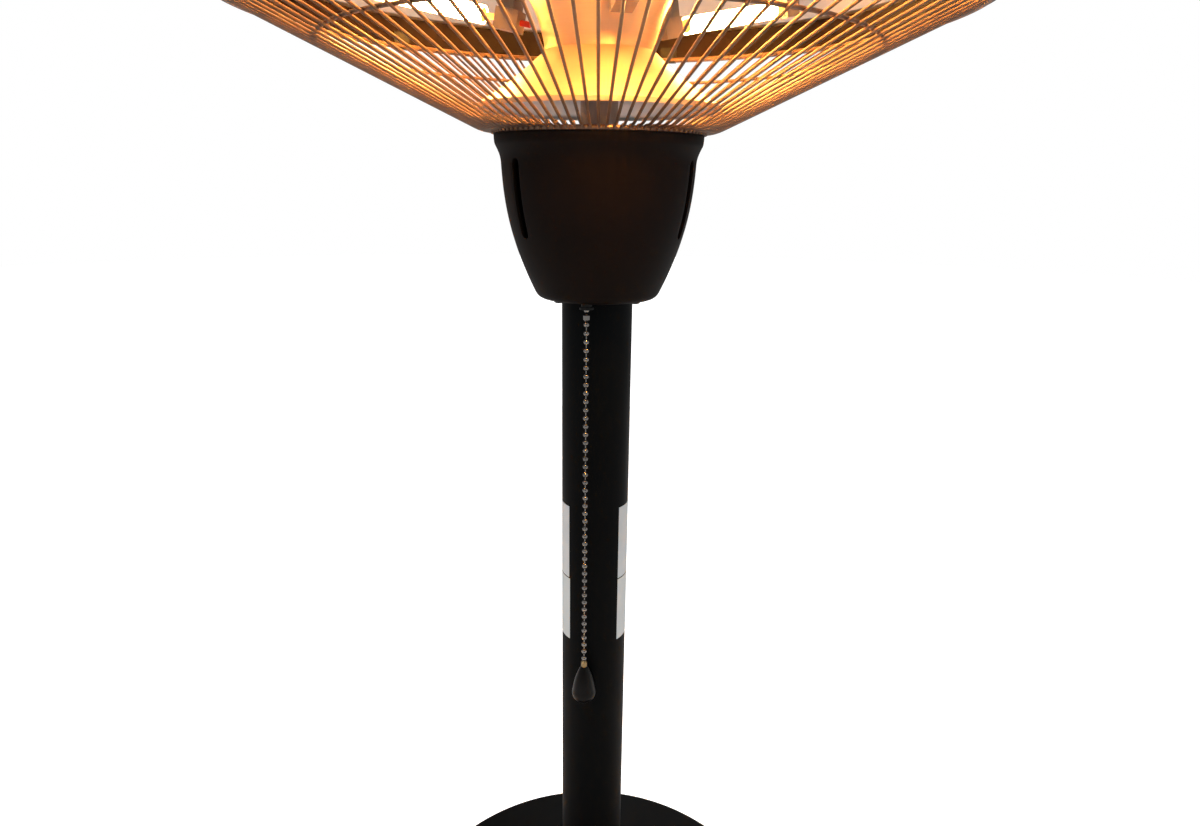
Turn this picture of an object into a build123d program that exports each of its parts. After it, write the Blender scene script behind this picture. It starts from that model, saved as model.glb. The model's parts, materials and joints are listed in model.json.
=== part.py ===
"""Tabletop patio heater: weighted base, pole, bell housing with a pull-chain switch, and a lamp head.

The head has three radial lamps under a shallow hood, a spun reflector column, and a conical wire guard.
Millimetres. +Z is up, the front is -Y, and the origin is on the table under the pole's axis.
"""
from build123d import *
from math import cos, radians, sin
import os

# Base
base_r = 150.0
base_skirt_top = 17.0
base_edge_r = 6.0
base_crown_z = 31.0
base_seat_r = 34.0
base_wall = 1.6
edge_steps = 3
foot_h = 5.0
foot_r = 12.0
foot_ring_r = 124.0
plate_t = 2.0
plate_gap = 0.4
ballast_top = 17.0
ballast_gap = 1.0
ballast_inset = 12.0
ballast_bore_gap = 1.0
base_screw_r = 2.5
base_screw_ring_r = 95.0
base_screw_l = 8.0
screw_clearance = 0.15
gland_r = 3.6
gland_bore_r = 2.6
gland_flange_r = 5.2
gland_z = 12.0
gland_lip = 0.9
gland_tail = 2.0
gland_nose = 2.6

# Pole and its fixings
pole_r = 21.0
pole_wall = 1.5
pole_top = 512.0
insert_h = 18.0
insert_gap = 0.05
bolt_r = 4.0
bolt_head_r = 7.5
bolt_head_h = 2.2
washer_t = 1.6
washer_r = 12.0
socket_depth = 32.0
socket_wall = 2.0
socket_flange_r = 30.0
socket_flange_t = 3.0
socket_screw_ring_r = 25.5
small_screw_r = 1.5
small_head_r = 2.8
small_head_h = 1.6
small_screw_l = 4.6
pole_screw_drop = 16.0
pole_screw_turns = (60.0, 120.0)
thread_gap = 0.1
spacer_r = 20.0

# Bell housing
bell_bottom = 510.0
bell_floor_r = 33.5
bell_corner_r = 39.4
bell_corner_z = 521.5
bell_mid_r = 50.9
bell_mid_z = 554.5
bell_collar_r = 55.0
bell_collar_z = 589.0
bell_lip_r = 58.8
bell_lip_z = 599.0
bell_top = 602.0
bell_wall = 2.0
vent_w = 6.5
vent_bottom = 547.0
vent_top = 586.0
vent_phase = 9.0
vent_count = 3
vent_middle = -60.0
bell_steps = 6
lid_t = 2.0
lid_gap = 0.3
post_r = 3.6
post_gap = 2.0

# Pull switch and chain
chain_x = -5.7
chain_y = -29.5
bead_r = 1.65
bead_pitch = 5.0
bead_count = 44
link_r = 0.55
bushing_r = 3.0
bushing_bore_r = 1.95
bushing_flange_r = 4.0
bushing_flange_t = 1.2
pull_travel = 12.0
drum_r = 12.0
drum_axle_r = 2.5
fit_gap = 0.06
switch_d = 12.0
drum_rise = 40.0
switch_wall = 2.0
knob_r = 6.9
knob_h = 25.0
knob_steps = 4
knob_neck_r = 2.2
ferrule_h = 4.0
ferrule_r = 1.9
clasp_h = 4.0
bead_sides = 6
switch_room = 3.0
chain_room = 0.9
bracket_w = 10.0
bracket_l = 6.0
bracket_t = 1.5
bracket_side = 7.0

# Wire guard
wire_count = 96
wire_d = 1.6
sector_count = 12
neck_ring_r = 57.6
neck_ring_d = 2.6
guard_foot_r = 63.5
guard_foot_z = 604.6
guard_rim_r = 197.5
guard_slope = 0.479
mid_ring_r = 147.0
mid_ring_d = 2.0
rim_ring_d = 3.6
guard_phase = -1.9
wire_sides = 4
ring_sides = 6
weld_share = 0.95

# Lamp head
tube_r = 10.5
tube_wall = 1.5
cone_rim_r = 68.0
cone_rim_z = 617.0
cone_top_r = 30.5
cone_top_z = 645.0
sheet_t = 1.0
sheet_drop = 1.25
reflector_steps = 6
cone_hem = 2.4
waist_z = 649.0
flare_mid_r = 38.4
flare_mid_z = 671.0
flare_top_r = 58.0
flare_top_z = 693.0
nut_h = 4.0
nut_r = 15.0
plug_flange_t = 4.0
plug_depth = 12.0

# Hood
guard_fit = 1.5
hood_wall = 1.2
hood_skirt_h = 20.0
hood_below_rim = 0.8
hood_brow_in = 12.0
hood_brow_rise = 11.0
hood_rise = 54.0
hood_crown_r = 16.0
hood_steps = 5
arch_rim_in = 10.0
cap_r = 15.0
cap_h = 11.0
cap_flat_r = 5.0
stud_r = 4.0
clip_count = 6
clip_w = 12.0
clip_t = 1.2
clip_phase = 15.0
clip_rise = 8.0

# Lamps
lamp_count = 3
lamp_phase = 12.5
lamp_inner = 69.0
lamp_in_from_rim = 45.5
lamp_below_rim = 1.8
lamp_tilt = 13.0
lamp_r = 4.9
lamp_wall = 0.9
filament_r = 1.3
cap_len = 14.0
cap_side = 11.0
pinch_len = 9.0
pinch_t = 2.6
lamp_plug_l = 2.5
hanger_l = 8.0
hanger_w = 13.0
sleeve_l = 6.0
sleeve_r = 1.6
seat_gap = 0.3

os.makedirs("parts", exist_ok=True)


def save(name, *solids):
    """Write one node, as one solid or as a group of separate ones."""
    flat = []
    for item in solids:
        flat.extend(item.solids())
    shape = flat[0] if len(flat) == 1 else Compound(children=flat)
    export_step(shape, f"parts/{name}.step")


def spun(*points):
    """Revolve a closed outline of (radius, height) points about the pole's axis."""
    outline = make_face(Polyline(*points, close=True))
    return revolve(Plane.XZ * outline, Axis.Z)


def rod(radius, low, high, x=0.0, y=0.0):
    """An upright cylinder between two heights."""
    return Pos(x, y, (low + high) / 2) * Cylinder(radius, high - low)


def washer(outer, inner, low, high):
    """An upright ring between two heights."""
    return rod(outer, low, high) - rod(inner, low - 1, high + 1)


def ring_places(count, radius, phase=0.0):
    """Places evenly spaced on a circle, each turned to face outwards."""
    return [Rot(0, 0, phase + 360 * i / count) * Pos(radius, 0, 0) for i in range(count)]


def arc_run(start, through, end, steps):
    """Points at even steps along the arc through three (radius, height) points, both ends included."""
    arc = ThreePointArc(start, through, end)
    return [(spot.X, spot.Y) for spot in [arc @ (step / steps) for step in range(steps + 1)]]


# Base: a pressed cover over a cast weight, closed below by a plate on rubber feet
plate_bottom = foot_h
plate_top = plate_bottom + plate_t
base_skirt_bottom = plate_bottom
base_shoulder_r = base_r - base_edge_r
base_shoulder_z = base_skirt_top + base_edge_r


def base_dome(inset):
    """The solid under the cover's outer skin, drawn in by an even wall."""
    edge = base_r - inset
    turn = base_shoulder_r
    top = base_shoulder_z - inset
    skirt = base_skirt_top
    crown = base_crown_z - inset
    bend = base_edge_r - inset
    mid = (turn + bend * sin(radians(45)), skirt + bend * cos(radians(45)))
    rounded = arc_run((edge, skirt), mid, (turn, top), edge_steps)
    return spun((0, base_skirt_bottom), (edge, base_skirt_bottom), *rounded, (base_seat_r, crown), (0, crown))


gland_hole = Pos(0, base_r, gland_z) * Rot(90, 0, 0) * Cylinder(gland_r + fit_gap, 8 * base_wall)
base_cover = base_dome(0) - base_dome(base_wall) - rod(bolt_r + 0.5, 0, base_crown_z + 1) - gland_hole
save("base_cover", base_cover)

ballast_r = base_r - base_wall - ballast_gap - ballast_inset
ballast = washer(ballast_r, bolt_r + ballast_bore_gap, plate_top, ballast_top)
for place in ring_places(4, base_screw_ring_r, 0):
    ballast -= place * rod(base_screw_r + screw_clearance, plate_top - 1, plate_top + base_screw_l + 1)
save("base_ballast", ballast)

plate_r = base_r - base_wall - plate_gap
plate = washer(plate_r, bolt_r + 0.5, plate_bottom, plate_top)
for place in ring_places(4, base_screw_ring_r, 0):
    plate -= place * rod(base_screw_r + screw_clearance, plate_bottom - 1, plate_top + 1)
save("base_plate", plate)


def pan_screw(radius, length, seat_z):
    """A pan-head screw that enters upwards from its seat."""
    head = Pos(0, 0, seat_z - radius * 0.6) * Cylinder(radius * 1.8, radius * 1.2)
    return head + rod(radius, seat_z, seat_z + length)


base_screws = [p * pan_screw(base_screw_r, plate_t + base_screw_l, plate_bottom)
               for p in ring_places(4, base_screw_ring_r, 0)]
save("base_screws", *base_screws)

foot = spun((0, 0), (foot_r - 1.5, 0), (foot_r, 1.5), (foot_r - 1.0, foot_h), (0, foot_h))
save("base_feet", *[p * foot for p in ring_places(4, foot_ring_r, 45)])

# The grommet's groove lies in the cover's rear wall
groove_in = -base_wall - seat_gap
groove_out = seat_gap + 0.1
gland_tail_end = -base_wall - gland_tail
gland_profile = [
    (gland_bore_r, gland_tail_end), (gland_r + gland_lip, gland_tail_end), (gland_r + gland_lip, groove_in),
    (gland_r, groove_in), (gland_r, groove_out), (gland_flange_r, groove_out),
    (gland_flange_r - gland_lip, gland_nose), (gland_bore_r, gland_nose),
]
gland = Pos(0, base_r, gland_z) * Rot(-90, 0, 0) * spun(*gland_profile)
save("cord_gland", gland)

# Pole: a plain tube, with a threaded insert below and the housing's socket above
pole_bottom = base_crown_z
pole_bore_r = pole_r - pole_wall
pole_screw_z = pole_top - pole_screw_drop
pole_screw_places = [Rot(0, 0, turn) for turn in pole_screw_turns]
pole_tube = washer(pole_r, pole_bore_r, pole_bottom, pole_top)
side_hole = Rot(0, 90, 0) * Cylinder(small_screw_r + thread_gap, 6 * pole_wall)
pole_screw_hole = Pos(pole_r, 0, pole_screw_z) * side_hole
for place in pole_screw_places:
    pole_tube -= place * pole_screw_hole
save("pole", pole_tube)

insert_r = pole_bore_r - insert_gap
save("pole_insert", washer(insert_r, bolt_r + fit_gap, pole_bottom, pole_bottom + insert_h))

bolt_seat = plate_bottom - washer_t
bolt_head = extrude(Pos(0, 0, bolt_seat - bolt_head_h) * RegularPolygon(bolt_head_r, 6), bolt_head_h)
save("base_bolt", bolt_head + rod(bolt_r, bolt_seat, pole_bottom + insert_h - 3.0))
save("base_washer", washer(washer_r, bolt_r + 0.3, bolt_seat, plate_bottom))

# Spacer that carries the pole's clamp load between the plate and the cover
spacer_top = base_crown_z - base_wall
save("base_spacer", washer(spacer_r, bolt_r + ballast_bore_gap, ballast_top, spacer_top))

# Housing socket: a spigot in the pole with a flange on the housing's floor
floor_top = bell_bottom + bell_wall
socket_r = pole_bore_r - insert_gap
socket = washer(socket_r, socket_r - socket_wall, floor_top - socket_depth, floor_top)
socket += washer(socket_flange_r, socket_r - socket_wall, floor_top, floor_top + socket_flange_t)
side_tap = Rot(0, 90, 0) * Cylinder(small_screw_r + fit_gap, 4 * socket_wall)
tapped_hole = Pos(socket_r, 0, pole_screw_z) * side_tap
for place in pole_screw_places:
    socket -= place * tapped_hole
socket_places = ring_places(3, socket_screw_ring_r, 90)
for place in socket_places:
    socket -= place * rod(small_screw_r + thread_gap, floor_top - 1, floor_top + socket_flange_t + 1)
socket -= rod(bushing_r + plate_gap, floor_top - 1, floor_top + socket_flange_t + 1, chain_x, chain_y)
save("pole_socket", socket)

side_screw = Rot(0, 90, 0) * (rod(small_head_r, 0, small_head_h) + rod(small_screw_r, -small_screw_l, 0))
side_screws = [p * Pos(pole_r, 0, pole_screw_z) * side_screw for p in pole_screw_places]
save("pole_screws", *side_screws)

# Bell housing: a moulded cup with three tall vents, a floor and a lip
def bell(inset):
    """The solid under the housing's outer skin, drawn in by an even wall."""
    low = bell_bottom + inset
    corner_mid = (bell_corner_r - inset - 1.6, bell_bottom + inset + 3.6)
    high = bell_top + (1.0 if inset else 0.0)
    corner_end = (bell_corner_r - inset, bell_corner_z)
    corner = arc_run((bell_floor_r - inset * 0.4, low), corner_mid, corner_end, edge_steps)
    collar = (bell_collar_r - inset, bell_collar_z)
    side = arc_run(corner_end, (bell_mid_r - inset, bell_mid_z), collar, bell_steps)
    lip = bell_lip_r - inset
    return spun((0, low), *corner, *side[1:], (lip, bell_lip_z), (lip, high), (0, high))


vent_mid = (vent_bottom + vent_top) / 2
vent_slot = SlotOverall(vent_top - vent_bottom, vent_w, rotation=90)
vent = Pos(0, -bell_mid_r / 2, vent_mid) * Rot(90, 0, 0) * extrude(vent_slot, bell_mid_r)
housing = bell(0) - bell(bell_wall) - rod(pole_r + 0.1, bell_bottom - 1, floor_top + 1)
housing -= rod(bushing_r + 0.05, bell_bottom - 1, floor_top + 1, chain_x, chain_y)
for i in range(vent_count):
    housing -= Rot(0, 0, vent_middle + vent_phase + 360 * i / vent_count) * vent
for place in socket_places:
    housing -= place * rod(small_screw_r + thread_gap, bell_bottom - 1, floor_top + 1)
save("bell_housing", housing)

socket_screws = [p * (rod(small_head_r, bell_bottom - small_head_h, bell_bottom)
                      + rod(small_screw_r, bell_bottom, floor_top + socket_flange_t + 1.5))
                 for p in socket_places]
save("socket_screws", *socket_screws)

# Lid: closes the bell, carries the head's tube, and stands on three posts of the socket
lid_r = bell_lip_r - bell_wall - lid_gap
lid_top = bell_top
lid_low = lid_top - lid_t
lid = washer(lid_r, tube_r + fit_gap, lid_low, lid_top)
post_places = socket_places
for place in post_places:
    lid -= place * rod(small_screw_r + thread_gap, lid_low - 1, lid_top + 1)
save("housing_lid", lid)

post_low = floor_top + socket_flange_t + post_gap
post_bore_r = small_screw_r + thread_gap
post = rod(post_r, post_low - post_gap, lid_low) - rod(post_bore_r, post_low - 3, post_low)
post -= rod(post_bore_r, lid_low - 7, lid_low + 1)
lid_posts = [p * post for p in post_places]
save("lid_posts", *lid_posts)
lid_screw = rod(small_head_r, lid_top, lid_top + small_head_h) + rod(small_screw_r, lid_top - 8, lid_top)
lid_screws = [p * lid_screw for p in post_places]
save("lid_screws", *lid_screws)

# Pull switch: a bushing, a case and an indexing drum that the chain turns
bushing_body = rod(bushing_r, bell_bottom, floor_top + 2.0)
bushing_body += rod(bushing_flange_r, bell_bottom - bushing_flange_t, bell_bottom)
bushing_body -= rod(bushing_bore_r, bell_bottom - 5, floor_top + 5)
save("chain_bushing", Pos(chain_x, chain_y, 0) * bushing_body)

drum_z = floor_top + drum_rise
drum_x = chain_x + drum_r
case_w = 2 * (drum_r + switch_room)
case_place = Pos(drum_x, chain_y, drum_z)
case = case_place * (Box(case_w, switch_d, case_w)
                     - Box(case_w - 2 * switch_wall, switch_d - 2 * switch_wall, case_w - 2 * switch_wall))
case -= case_place * Rot(90, 0, 0) * Cylinder(drum_axle_r + fit_gap, switch_d + 4)
case -= rod(bead_r + chain_room, drum_z - case_w, drum_z, chain_x, chain_y)
save("switch_case", case)

drum_body_w = switch_d - 2 * switch_wall - 2 * seat_gap
drum_rim_r = drum_r - bead_r - seat_gap
drum = Rot(90, 0, 0) * (Cylinder(drum_rim_r, drum_body_w) + Cylinder(drum_axle_r, switch_d + 2.0))
save("switch_drum", case_place * drum)

bracket_y = chain_y + switch_d / 2
flange_top = floor_top + socket_flange_t
bracket_box = Box(bracket_w, bracket_t, drum_z - flange_top, align=(Align.CENTER, Align.MIN, Align.MIN))
bracket_foot = Box(bracket_w, bracket_l, bracket_t, align=(Align.CENTER, Align.MIN, Align.MIN))
bracket_place = Pos(drum_x + drum_axle_r + bracket_side, bracket_y, flange_top)
save("switch_bracket", bracket_place * (bracket_box + bracket_foot))


def bead(z):
    """One faceted bead of the ball chain, centred at a height."""
    levels = [(bead_r * sin(radians(lat)), bead_r * cos(radians(lat))) for lat in (-60, -20, 20, 60)]
    return loft([Pos(0, 0, z + h) * RegularPolygon(r, bead_sides) for h, r in levels], ruled=True)


def bead_string(count, top):
    """Beads on short links, hanging down from a height, joined in one chain."""
    length = (count - 1) * bead_pitch
    core = extrude(Pos(0, 0, top - bead_r - length) * RegularPolygon(link_r, 6), length)
    chain = core.fuse(*[bead(top - bead_r - bead_pitch * i) for i in range(count)])
    return Pos(chain_x, chain_y, 0) * chain


# The chain: an inner run that slides through the bushing, a clasp, and the hanging run with its knob
chain_pivot_z = bell_bottom - bushing_flange_t - 2.0
inner_count = int((drum_z - chain_pivot_z) / bead_pitch)
inner_top = chain_pivot_z + (inner_count - 1) * bead_pitch + 2 * bead_r
save("pull_link", bead_string(inner_count, inner_top))
clasp_top = chain_pivot_z - 2 * seat_gap
save("chain_clasp", Pos(chain_x, chain_y, 0) * spun(
    (0, clasp_top - clasp_h), (link_r * 2, clasp_top - clasp_h), (ferrule_r, clasp_top - clasp_h + 0.8),
    (ferrule_r, clasp_top - 0.8), (link_r, clasp_top), (0, clasp_top)))
chain_top = clasp_top - clasp_h - seat_gap
save("pull_chain", bead_string(bead_count, chain_top))

knob_top = chain_top - bead_count * bead_pitch + bead_pitch - 2 * bead_r
ferrule_low = knob_top - ferrule_h
save("chain_ferrule", Pos(chain_x, chain_y, 0) * spun(
    (0, ferrule_low), (ferrule_r, ferrule_low), (ferrule_r, knob_top - 1.0), (link_r * 2, knob_top),
    (0, knob_top)))

knob_low = ferrule_low - knob_h
knob_waist = (knob_r, knob_low + knob_h * 0.33)
knob_turn = (knob_r * 0.9, knob_low + knob_h * 0.1)
knob_flank = (knob_r * 0.72, knob_low + knob_h * 0.7)
knob_foot = arc_run((knob_r * 0.45, knob_low), knob_turn, knob_waist, knob_steps)
knob_side = arc_run(knob_waist, knob_flank, (knob_neck_r, ferrule_low), knob_steps)
knob = spun((0, knob_low), *knob_foot, *knob_side[1:], (0, ferrule_low))
save("pull_knob", Pos(chain_x, chain_y, 0) * knob)

# Where the head's sheets meet, worked out from the guard's rim
guard_rim_z = guard_foot_z + guard_slope * (guard_rim_r - guard_foot_r)
hood_r = guard_rim_r + rim_ring_d / 2 + guard_fit + hood_wall
hood_bottom = guard_rim_z - hood_below_rim
lamp_outer = guard_rim_r - lamp_in_from_rim
lamp_z = guard_rim_z - lamp_below_rim
hood_shoulder_z = hood_bottom + hood_skirt_h
hood_brow_z = hood_shoulder_z + hood_brow_rise
hood_crown_z = hood_shoulder_z + hood_rise
hood_mid_r = hood_r * 0.545
hood_mid_z = hood_brow_z + (hood_crown_z - hood_brow_z) * 0.65
arch_rim_r = hood_r - arch_rim_in
arch_rim_z = hood_shoulder_z - sheet_t - seat_gap
arch_crown_r = hood_r * 0.585
arch_crown_z = arch_rim_z + hood_rise * 0.52
skirt_in = hood_r - hood_wall
ring_edge = skirt_in - seat_gap

# Head tube and the nuts that clamp what stands on it
tube_low = lid_low - nut_h - 3.0
crown_under = hood_crown_z - hood_wall
tube_top = crown_under - plug_flange_t
save("head_tube", washer(tube_r, tube_r - tube_wall, tube_low, tube_top))


def tube_nut(low):
    """A round nut on the head tube."""
    return washer(nut_r, tube_r + fit_gap, low, low + nut_h)


cone_flange_low = cone_top_z - sheet_t
column_flange_top = cone_top_z + sheet_t
save("tube_nuts", tube_nut(lid_low - nut_h), tube_nut(cone_flange_low - nut_h), tube_nut(column_flange_top))

plug = rod(tube_r - tube_wall - insert_gap, tube_top - plug_depth, tube_top)
plug += rod(cap_r - 1.0, tube_top, crown_under)
plug += rod(stud_r, crown_under, hood_crown_z + cap_h - 3.0)
save("tube_plug", plug)

# Lower reflector: a spun cone under the lamps, flanged on to the tube
cone_mid = ((cone_rim_r + cone_top_r) / 2 - 1.0, (cone_rim_z + cone_top_z) / 2 - 1.0)
drop = sheet_drop * sheet_t
hem_z = cone_rim_z - cone_hem
flange_r = tube_r + plate_gap
cone_over = arc_run((cone_top_r, cone_top_z), cone_mid, (cone_rim_r, cone_rim_z), reflector_steps)
cone_under = arc_run((cone_rim_r - sheet_t, cone_rim_z - drop / 2), (cone_mid[0] - 0.4, cone_mid[1] - drop),
                     (cone_top_r - 0.4, cone_flange_low), reflector_steps)
hem = [(cone_rim_r, hem_z), (cone_rim_r - sheet_t, hem_z)]
cone = spun((flange_r, cone_top_z), *cone_over, *hem, *cone_under, (flange_r, cone_flange_low))
save("lower_reflector", cone)

# Column reflector: a trumpet that flares up to the hood's reflector
flare_lip_r = flare_top_r - drop
flare_top = (flare_top_r, flare_top_z)
flare_out = arc_run((cone_top_r, waist_z), (flare_mid_r, flare_mid_z), flare_top, reflector_steps)
flare_in = arc_run((flare_lip_r, flare_top_z), (flare_mid_r - drop, flare_mid_z + 0.4),
                   (cone_top_r - sheet_t, waist_z), reflector_steps)
column = spun((flange_r, cone_top_z), (cone_top_r, cone_top_z), *flare_out, *flare_in,
              (cone_top_r - sheet_t, column_flange_top), (flange_r, column_flange_top))
save("column_reflector", column)


def arch(lift):
    """The hood reflector's outline from the trumpet's rim outwards, raised by a height."""
    return arc_run((flare_lip_r, flare_top_z + lift), (arch_crown_r, arch_crown_z + lift),
                   (arch_rim_r, arch_rim_z + lift), reflector_steps)


# Hood reflector: an arched ring from the trumpet's rim to the hood's skirt
flat_rim = [(ring_edge, arch_rim_z), (ring_edge, arch_rim_z + sheet_t)]
hood_reflector = spun(*arch(0.0), *flat_rim, *reversed(arch(sheet_t)))
save("hood_reflector", hood_reflector)

under_arch = spun((0, 0), *reversed([(0, flare_top_z - seat_gap), *arch(-seat_gap), (arch_rim_r, 0)]))


def hood_dome(inset):
    """The solid under the hood's outer skin, drawn in by an even wall."""
    low = hood_bottom - (1.0 if inset else 0.0)
    side = hood_r - inset
    brow_r = hood_r - hood_brow_in - inset * 0.6
    brow_z = hood_brow_z - inset
    bend = (hood_r - hood_brow_in * 0.28 - inset * 0.8, hood_shoulder_z + hood_brow_rise * 0.6 - inset * 0.6)
    shoulder = arc_run((side, hood_shoulder_z), bend, (brow_r, brow_z), edge_steps)
    crown_z = hood_crown_z - inset
    top = arc_run((brow_r, brow_z), (hood_mid_r, hood_mid_z - inset), (hood_crown_r, crown_z), hood_steps)
    return spun((0, low), (side, low), *shoulder, *top[1:], (0, crown_z))


hood = hood_dome(0) - hood_dome(hood_wall) - rod(stud_r + 0.3, hood_crown_z - 10, hood_crown_z + 1)
save("hood", hood)

cap_top = hood_crown_z + cap_h
cap_round = arc_run((cap_r, hood_crown_z + cap_h * 0.35), (cap_r * 0.78, hood_crown_z + cap_h * 0.8),
                    (cap_flat_r, cap_top), edge_steps)
cap = spun((0, hood_crown_z), (cap_r, hood_crown_z), *cap_round, (0, cap_top))
cap -= rod(stud_r + fit_gap, hood_crown_z - 1, hood_crown_z + cap_h - 2.5)
save("hood_cap", cap)

# Lamps: three quartz tubes on radial lines, rising outwards, in ceramic ends on sheet brackets
lamp_l = (lamp_outer - lamp_inner) / cos(radians(lamp_tilt))


def lamp_places():
    """The frame of each lamp: its inner glass end, with X along the tube."""
    turns = [lamp_phase - 90 + 360 * i / lamp_count for i in range(lamp_count)]
    return [Rot(0, 0, turn) * Pos(lamp_inner, 0, lamp_z) * Rot(0, -lamp_tilt, 0) for turn in turns]


def along(radius, low, high):
    """A cylinder along X between two stations."""
    return Pos((low + high) / 2, 0, 0) * Rot(0, 90, 0) * Cylinder(radius, high - low)


def block(low, high, width, height):
    """A block along X between two stations, centred on the lamp's axis."""
    return Pos((low + high) / 2, 0, 0) * Box(high - low, width, height)


glass_bore = lamp_r - lamp_wall
lamp_glass = along(lamp_r, 0, lamp_l) - along(glass_bore, -1, lamp_l + 1)
filament = along(filament_r, lamp_plug_l, lamp_l - lamp_plug_l)
pinch_in = along(glass_bore - insert_gap, 0, lamp_plug_l) + block(-pinch_len, 0, 2 * glass_bore, pinch_t)
pinch_out = along(glass_bore - insert_gap, lamp_l - lamp_plug_l, lamp_l)
pinch_out += block(lamp_l, lamp_l + pinch_len, 2 * glass_bore, pinch_t)
cap_in = block(-pinch_len - cap_len, -pinch_len, cap_side, cap_side)
cap_out = block(lamp_l + pinch_len, lamp_l + pinch_len + cap_len, cap_side, cap_side)
hanger = Box(hanger_l, hanger_w, hood_rise, align=(Align.CENTER, Align.CENTER, Align.MIN))
bracket_in = Pos(-pinch_len - cap_len / 2, 0, cap_side / 2) * hanger
bracket_out = Pos(lamp_l + pinch_len + cap_len / 2, 0, cap_side / 2) * hanger
sleeve_in = along(sleeve_r, -pinch_len - cap_len - sleeve_l, -pinch_len - cap_len)
sleeve_out = along(sleeve_r, lamp_l + pinch_len + cap_len, lamp_l + pinch_len + cap_len + sleeve_l)
clear_flare = arc_run((flare_top_r + seat_gap, flare_top_z), (flare_mid_r + seat_gap, flare_mid_z),
                      (cone_top_r + seat_gap, waist_z), reflector_steps)
outside_trumpet = spun((cone_top_r + seat_gap, 0), (hood_r, 0), (hood_r, hood_crown_z),
                       (flare_top_r + seat_gap, hood_crown_z), *clear_flare)
places = lamp_places()
save("lamp_tubes", *[p * lamp_glass for p in places])
save("lamp_filaments", *[p * filament for p in places])
save("lamp_pinches", *[p * s for p in places for s in (pinch_in, pinch_out)])
save("lamp_ends", *[p * s for p in places for s in (cap_in, cap_out)])
room = under_arch & outside_trumpet
save("lamp_brackets", *[(p * s) & room for p in places for s in (bracket_in, bracket_out)])
save("lamp_leads", *[p * s for p in places for s in (sleeve_in, sleeve_out)])


# Guard: radial wires welded to a neck ring, a middle ring and a rim ring
def guard_z(radius):
    """Height of the wires' centre line at a distance from the axis."""
    return guard_foot_z + guard_slope * (radius - guard_foot_r)


neck_ring_z = bell_top + neck_ring_d / 2
wire_in_r = neck_ring_r + neck_ring_d / 2 + wire_d * 0.3
wire_pitch = 360 / wire_count
wires_each = wire_count // sector_count
sector_angle = 360 / sector_count
ring_steps = 4


def wire():
    """One guard wire: down over the neck ring, bent, then straight to the rim."""
    path = Plane.XZ * Polyline((wire_in_r, bell_top + seat_gap), (wire_in_r, neck_ring_z + 0.2),
                               (guard_foot_r, guard_foot_z), (guard_rim_r, guard_rim_z))
    section = Pos(wire_in_r, 0, bell_top + seat_gap) * RegularPolygon(wire_d / 2, wire_sides)
    return sweep(section, path=path, transition=Transition.RIGHT)


def ring_piece(radius, z, diameter):
    """The stretch of a round ring that one sector holds, in short straight runs."""
    sections = []
    for step in range(ring_steps + 1):
        turn = radians(sector_angle * step / ring_steps)
        plane = Plane(origin=(radius * cos(turn), radius * sin(turn), z),
                      x_dir=(cos(turn), sin(turn), 0), z_dir=(-sin(turn), cos(turn), 0))
        sections.append(plane * RegularPolygon(diameter / 2, ring_sides))
    return loft(sections, ruled=True)


mid_ring_z = guard_z(mid_ring_r) + (wire_d + mid_ring_d) / 2 * weld_share
wires = [Rot(0, 0, wire_pitch * (i + 0.5)) * wire() for i in range(wires_each)]
rings = [ring_piece(neck_ring_r, neck_ring_z, neck_ring_d), ring_piece(mid_ring_r, mid_ring_z, mid_ring_d),
         ring_piece(guard_rim_r, guard_rim_z, rim_ring_d)]
sector = rings[0].fuse(*(rings[1:] + wires))
save("guard", *[Rot(0, 0, guard_phase + sector_angle * i) * sector for i in range(sector_count)])

# Clips hold the guard's rim ring to the hood's skirt
clip_r = guard_rim_r + rim_ring_d / 2 + seat_gap
clip_low = guard_rim_z - rim_ring_d / 2 - seat_gap - clip_t
clip_top = guard_rim_z + clip_rise
clip_depth = skirt_in - clip_r
clip = Pos(clip_r, 0, clip_low) * Box(clip_depth, clip_w, clip_top - clip_low,
                                      align=(Align.MIN, Align.CENTER, Align.MIN))
clip += Pos(clip_r + clip_depth, 0, clip_low) * Box(clip_depth + rim_ring_d, clip_w, clip_t,
                                                    align=(Align.MAX, Align.CENTER, Align.MIN))
skin = rod(skirt_in, hood_bottom - hood_skirt_h, hood_shoulder_z)
clip_places = ring_places(clip_count, 0, clip_phase)
save("guard_clips", *[(p * clip) & skin for p in clip_places])
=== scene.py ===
"""Looks of the tabletop patio heater: finishes, round guard wires, ball chain, turned sheets and labels.

Metres. +Z is up and the front is -Y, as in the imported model.
"""
import bpy
import json
from math import atan2, cos, degrees, hypot, pi, radians, sin
from mathutils import Matrix, Vector


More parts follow.
